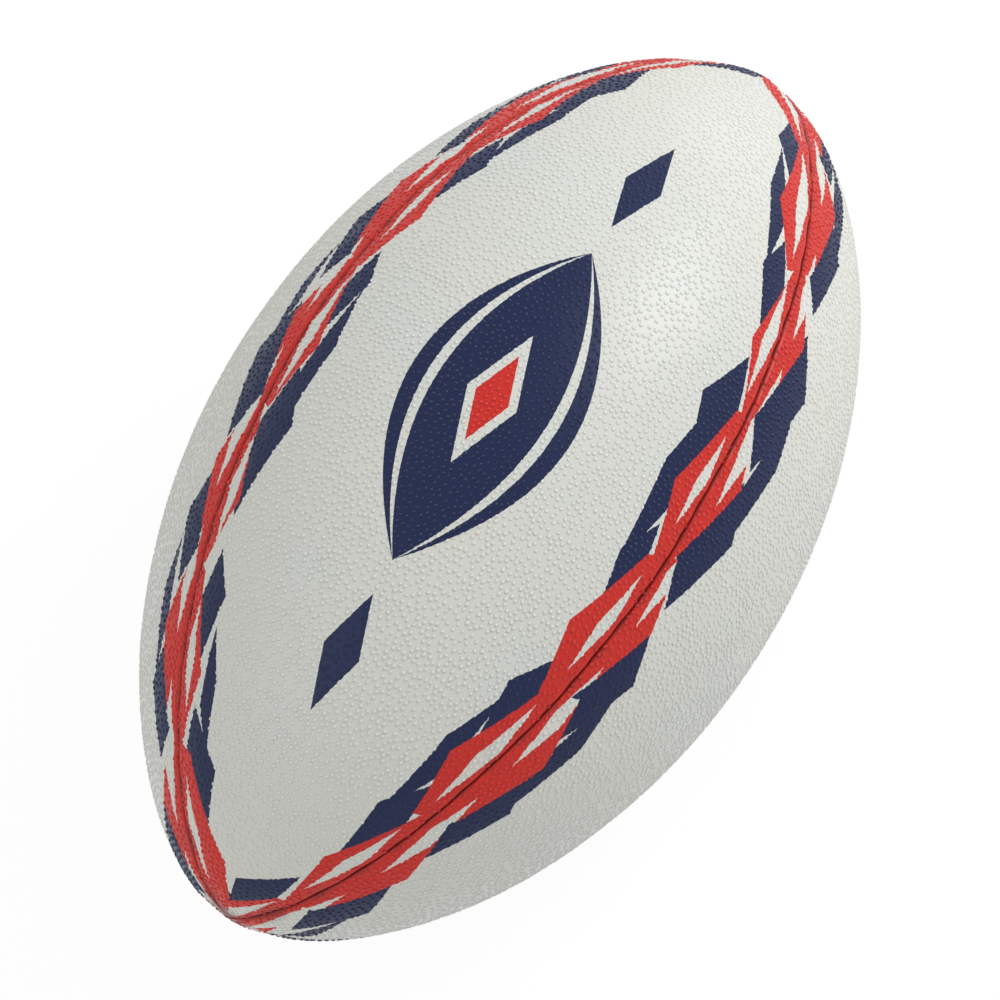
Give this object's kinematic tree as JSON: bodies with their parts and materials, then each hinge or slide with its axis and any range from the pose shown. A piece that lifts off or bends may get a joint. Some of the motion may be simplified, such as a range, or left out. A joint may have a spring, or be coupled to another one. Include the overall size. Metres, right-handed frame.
{
  "type": "rugby ball",
  "caption": "Pointed oval training ball: stitched rubber-faced panels over a bladder, with a needle valve set in one panel.",
  "frame": {"origin": "middle of the ball, which is the centre of its box", "axes": "+X along the ball from tip to tip, +Z out of the middle of the front panel, +Y out of the valve"},
  "size_m": [0.262, 0.1539, 0.154],
  "materials": {
    "grip_rubber": "pimpled rubber, white with red and navy print along the seams",
    "cotton_ply": "unbleached woven cotton",
    "polyester_ply": "woven polyester",
    "waxed_thread": "braided polyester, waxed",
    "bladder_rubber": "smooth butyl rubber",
    "canvas_patch": "coated canvas",
    "valve_rubber": "soft moulded rubber"
  },
  "bodies": {
    "root": {"panel_front_rubber": "grip_rubber", "panel_side_rubber": "grip_rubber", "panel_back_rubber": "grip_rubber", "panel_valve_rubber": "grip_rubber", "panel_front_cotton": "cotton_ply", "panel_side_cotton": "cotton_ply", "panel_back_cotton": "cotton_ply", "panel_valve_cotton": "cotton_ply", "panel_front_polyester": "polyester_ply", "panel_side_polyester": "polyester_ply", "panel_back_polyester": "polyester_ply", "panel_valve_polyester": "polyester_ply", "seam_front_side_thread": "waxed_thread", "seam_side_back_thread": "waxed_thread", "seam_back_valve_thread": "waxed_thread", "seam_valve_front_thread": "waxed_thread", "bladder": "bladder_rubber", "valve_patch": "canvas_patch", "valve_stem": "valve_rubber", "valve_core": "valve_rubber"}
  },
  "joints": []
}
